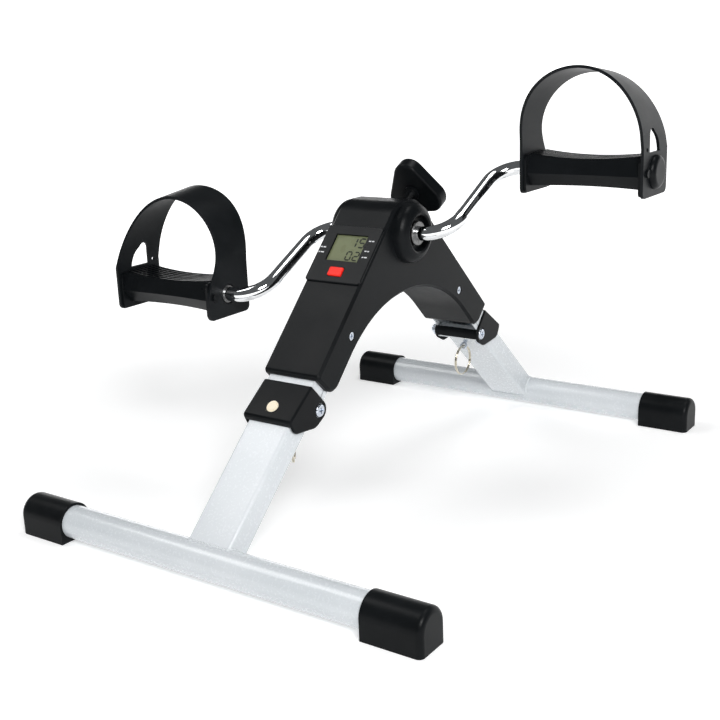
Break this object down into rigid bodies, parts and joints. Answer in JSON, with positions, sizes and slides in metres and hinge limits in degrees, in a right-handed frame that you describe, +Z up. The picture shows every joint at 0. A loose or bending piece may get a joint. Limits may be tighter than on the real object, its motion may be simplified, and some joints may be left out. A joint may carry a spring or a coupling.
{
  "type": "pedal exerciser",
  "caption": "Folding floor-standing pedal exerciser: arched body on hinged tube legs, cranked chrome axle with strapped pedals, tension knob, sloping display and pull-ring leg locks.",
  "frame": {"origin": "on the floor, midway between the two feet and under the middle of the body", "axes": "+X to the user's right along the crank axle, +Y away from the user, +Z up"},
  "size_m": [0.4194, 0.5124, 0.3529],
  "materials": {
    "housing_plastic": "fine satin texture",
    "display_plastic": "fine satin texture",
    "window_clear": "clear, thin",
    "lcd_glass": "olive-green reflective liquid-crystal panel",
    "board_green": "solder-mask green",
    "cell_steel": "bright can",
    "switch_plastic": "plain",
    "button_red": "glossy red",
    "dome_rubber": "translucent grey silicone",
    "frame_paint": "glossy white powder coat",
    "leg_paint": "glossy white powder coat",
    "cap_rubber": "satin black",
    "zinc_steel": "bright zinc plate",
    "spring_steel": "plain wire",
    "nickel_buff": "buff nickel plate",
    "ring_steel": "nickel plated wire",
    "crank_chrome": "bright chrome",
    "drum_steel": "turned steel",
    "pad_felt": "pressed felt lining",
    "magnet_steel": "nickel plated",
    "bush_nylon": "plain nylon",
    "knob_plastic": "satin black",
    "pedal_plastic": "satin black",
    "strap_plastic": "smooth flexible black"
  },
  "bodies": {
    "frame": {"main_frame": "frame_paint", "housing_left": "housing_plastic", "housing_right": "housing_plastic", "housing_screws": "zinc_steel", "crank_bushes": "bush_nylon", "tension_nut": "zinc_steel", "reed_switch": "switch_plastic", "display_case": "display_plastic", "display_window": "window_clear", "lcd_panel": "lcd_glass", "circuit_board": "board_green", "button_switch": "switch_plastic", "button_dome": "dome_rubber", "battery": "cell_steel", "far_hinge_cover": "housing_plastic", "near_hinge_cover": "housing_plastic", "hinge_bolts": "zinc_steel", "hinge_nuts": "zinc_steel", "lock_sockets": "nickel_buff"},
    "far_leg": {"far_leg_tube": "leg_paint", "far_hinge_barrel": "leg_paint", "far_foot_tube": "leg_paint", "far_left_foot_cap": "cap_rubber", "far_right_foot_cap": "cap_rubber", "far_stop_screw": "zinc_steel", "far_pin_spring": "spring_steel"},
    "far_pin": {"far_lock_pin": "zinc_steel"},
    "far_ring": {"far_pull_ring": "ring_steel"},
    "near_leg": {"near_leg_tube": "leg_paint", "near_hinge_barrel": "leg_paint", "near_foot_tube": "leg_paint", "near_left_foot_cap": "cap_rubber", "near_right_foot_cap": "cap_rubber", "near_stop_screw": "zinc_steel", "near_pin_spring": "spring_steel"},
    "near_pin": {"near_lock_pin": "zinc_steel"},
    "near_ring": {"near_pull_ring": "ring_steel"},
    "crank": {"crank_rod": "crank_chrome", "crank_collars": "crank_chrome", "brake_drum": "drum_steel", "sensor_magnet": "magnet_steel", "spindle_clips": "crank_chrome", "spindle_stops": "crank_chrome"},
    "left_pedal": {"left_pedal_body": "pedal_plastic", "left_pedal_bushes": "bush_nylon", "left_spindle_cap": "pedal_plastic", "left_strap": "strap_plastic", "left_strap_studs": "strap_plastic"},
    "right_pedal": {"right_pedal_body": "pedal_plastic", "right_pedal_bushes": "bush_nylon", "right_spindle_cap": "pedal_plastic", "right_strap": "strap_plastic", "right_strap_studs": "strap_plastic"},
    "brake_shoe": {"shoe_carrier": "drum_steel", "brake_pad": "pad_felt"},
    "knob": {"tension_screw": "crank_chrome", "tension_knob": "knob_plastic"},
    "button": {"reset_button": "button_red"}
  },
  "joints": [
    {"name": "crank_turn", "type": "hinge", "parent": "frame", "child": "crank", "pos_m": [0, 0, 0.2216], "axis": [1, 0, 0], "continuous": true},
    {"name": "right_pedal_turn", "type": "hinge", "parent": "crank", "child": "right_pedal", "pos_m": [0.15, 0.09025, 0.26739], "axis": [1, 0, 0], "continuous": true},
    {"name": "left_pedal_turn", "type": "hinge", "parent": "crank", "child": "left_pedal", "pos_m": [-0.15, -0.09025, 0.17581], "axis": [1, 0, 0], "continuous": true},
    {"name": "far_leg_fold", "type": "hinge", "parent": "frame", "child": "far_leg", "pos_m": [0, 0.12886, 0.10242], "axis": [-1, 0, 0], "range_deg": [0, 100]},
    {"name": "far_pin_pull", "type": "slide", "parent": "far_leg", "child": "far_pin", "axis": [0, -0.6756, -0.7373], "range_m": [-0.003, 0], "deforming": ["far_pin_spring"]},
    {"name": "far_ring_swing", "type": "hinge", "parent": "far_pin", "child": "far_ring", "pos_m": [0, 0.13565, 0.08644], "axis": [1, 0, 0], "range_deg": [-33, 0]},
    {"name": "near_leg_fold", "type": "hinge", "parent": "frame", "child": "near_leg", "pos_m": [0, -0.12886, 0.10242], "axis": [1, 0, 0], "range_deg": [0, 100]},
    {"name": "near_pin_pull", "type": "slide", "parent": "near_leg", "child": "near_pin", "axis": [0, 0.6756, -0.7373], "range_m": [-0.003, 0], "deforming": ["near_pin_spring"]},
    {"name": "near_ring_swing", "type": "hinge", "parent": "near_pin", "child": "near_ring", "pos_m": [0, -0.13565, 0.08644], "axis": [-0.8111, -0.5849, 0], "range_deg": [-33, 0]},
    {"name": "shoe_slide", "type": "slide", "parent": "frame", "child": "brake_shoe", "axis": [0, 0.891, 0.454], "range_m": [-0.00031, 0.00218]},
    {"name": "knob_turn", "type": "hinge", "parent": "brake_shoe", "child": "knob", "pos_m": [0, 0.03564, 0.23976], "axis": [0, 0.891, 0.454], "range_deg": [-90, 630]},
    {"name": "button_press", "type": "slide", "parent": "frame", "child": "button", "axis": [0, 0.7071, -0.7071], "range_m": [0, 0.001], "stiffness_N_per_m": 400, "springref_m": -0.002, "deforming": ["button_dome"]}
  ],
  "couplings": [
    {"joint": "knob_turn", "follows": "shoe_slide", "rad_per_m": 5026.5}
  ]
}
